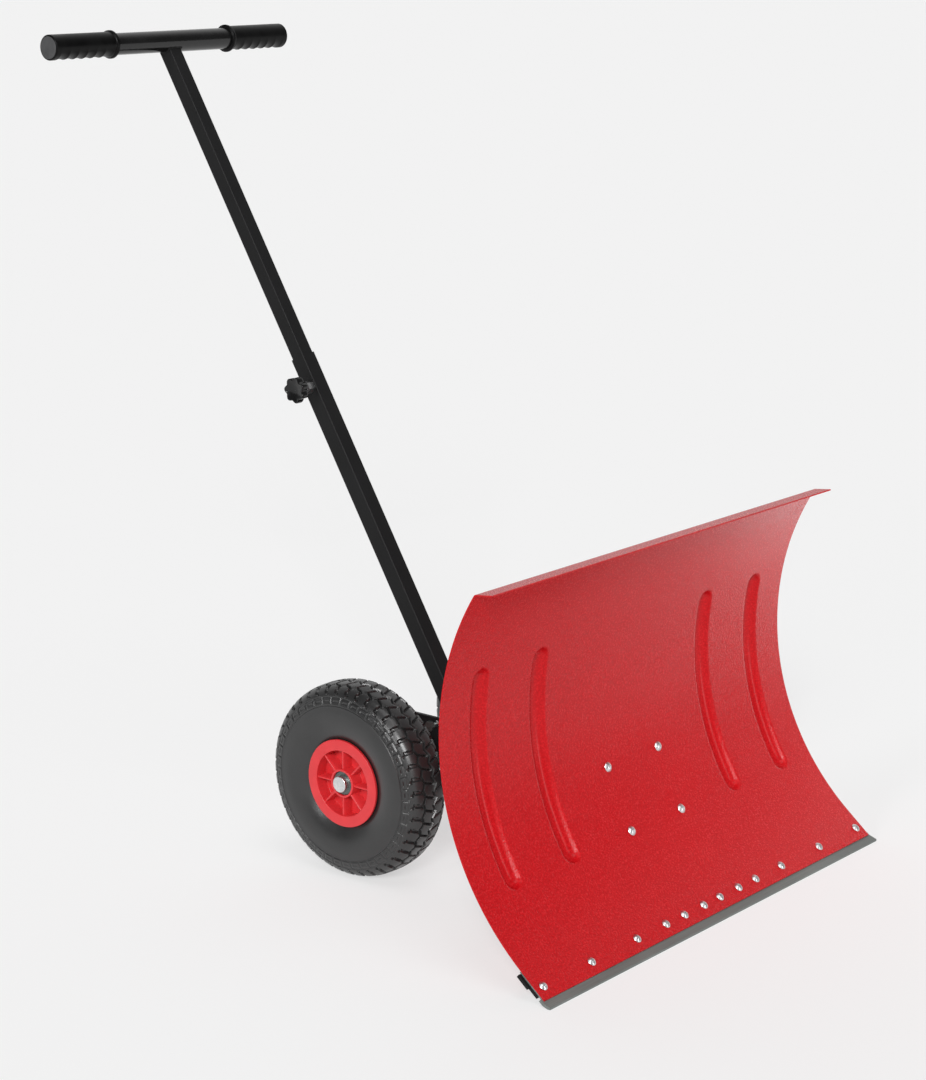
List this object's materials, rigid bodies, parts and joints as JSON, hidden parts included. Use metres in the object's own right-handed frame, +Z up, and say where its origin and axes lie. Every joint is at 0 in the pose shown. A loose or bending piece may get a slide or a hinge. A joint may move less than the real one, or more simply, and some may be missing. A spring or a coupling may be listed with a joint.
{
  "type": "wheeled snow shovel",
  "caption": "Curved steel snow shovel blade on a two-wheeled frame, pushed by a telescopic tilting pole with a T-bar handle and a star knob.",
  "frame": {"origin": "on the ground, at the middle of the flat on the scraper strip's lower edge", "axes": "+X across the blade along the axle, -Y the way the blade is pushed, +Z up"},
  "size_m": [0.744, 0.9947, 1.0948],
  "materials": {
    "blade_red": "textured powder coat",
    "strip_grey": "brushed",
    "frame_black": "satin powder coat",
    "zinc": "bright zinc plate",
    "rim_red": "moulded, satin gloss",
    "tyre_black": "satin moulded rubber",
    "bush_dark": "moulded",
    "plug_black": "moulded",
    "grip_black": "satin moulded rubber",
    "knob_black": "moulded",
    "pad_brass": "turned"
  },
  "bodies": {
    "frame": {"blade": "blade_red", "scraper_strip": "strip_grey", "clamp_bar": "frame_black", "strip_bolts": "zinc", "strip_nuts": "zinc", "frame_bolts": "zinc", "frame_nuts": "zinc", "left_mount_plate": "frame_black", "right_mount_plate": "frame_black", "left_cheek": "frame_black", "right_cheek": "frame_black", "front_cross_tube": "frame_black", "rear_cross_tube": "frame_black", "axle": "zinc", "left_axle_spacer": "frame_black", "right_axle_spacer": "frame_black", "axle_washers": "zinc", "left_axle_cap": "zinc", "right_axle_cap": "zinc", "pivot_bolt": "zinc", "pivot_nut": "zinc", "pivot_spacers": "zinc"},
    "left_wheel": {"left_rim": "rim_red", "left_tyre": "tyre_black", "left_bushes": "bush_dark"},
    "right_wheel": {"right_rim": "rim_red", "right_tyre": "tyre_black", "right_bushes": "bush_dark"},
    "lower_pole_group": {"lower_pole": "frame_black", "foot_plug": "plug_black", "lock_bolt": "zinc", "lock_nut": "zinc", "lock_spacers": "zinc", "clamp_boss": "zinc"},
    "upper_pole_group": {"upper_pole": "frame_black", "guide_plug": "plug_black", "t_bar": "frame_black", "left_grip": "grip_black", "right_grip": "grip_black"},
    "pad": {"clamp_pad": "pad_brass"},
    "knob": {"clamp_stud": "zinc", "star_knob": "knob_black"}
  },
  "joints": [
    {"name": "left_wheel_spin", "type": "hinge", "parent": "frame", "child": "left_wheel", "pos_m": [0, 0.4775, 0.133], "axis": [1, 0, 0], "continuous": true},
    {"name": "right_wheel_spin", "type": "hinge", "parent": "frame", "child": "right_wheel", "pos_m": [0, 0.4775, 0.133], "axis": [1, 0, 0], "continuous": true},
    {"name": "pole_tilt", "type": "hinge", "parent": "frame", "child": "lower_pole_group", "pos_m": [0, 0.4181, 0.14], "axis": [1, 0, 0], "range_deg": [-10, 12]},
    {"name": "pole_height", "type": "slide", "parent": "lower_pole_group", "child": "upper_pole_group", "axis": [0, 0.5143, 0.8576], "range_m": [-0.25, 0.08]},
    {"name": "pad_travel", "type": "slide", "parent": "lower_pole_group", "child": "pad", "axis": [-1, 0, 0], "range_m": [0, 0.0025]},
    {"name": "knob_turn", "type": "hinge", "parent": "pad", "child": "knob", "pos_m": [0, 0.70199, 0.6134], "axis": [-1, 0, 0], "range_deg": [0, 720]}
  ],
  "couplings": [
    {"joint": "pad_travel", "follows": "knob_turn", "m_per_rad": 0.00019894}
  ]
}
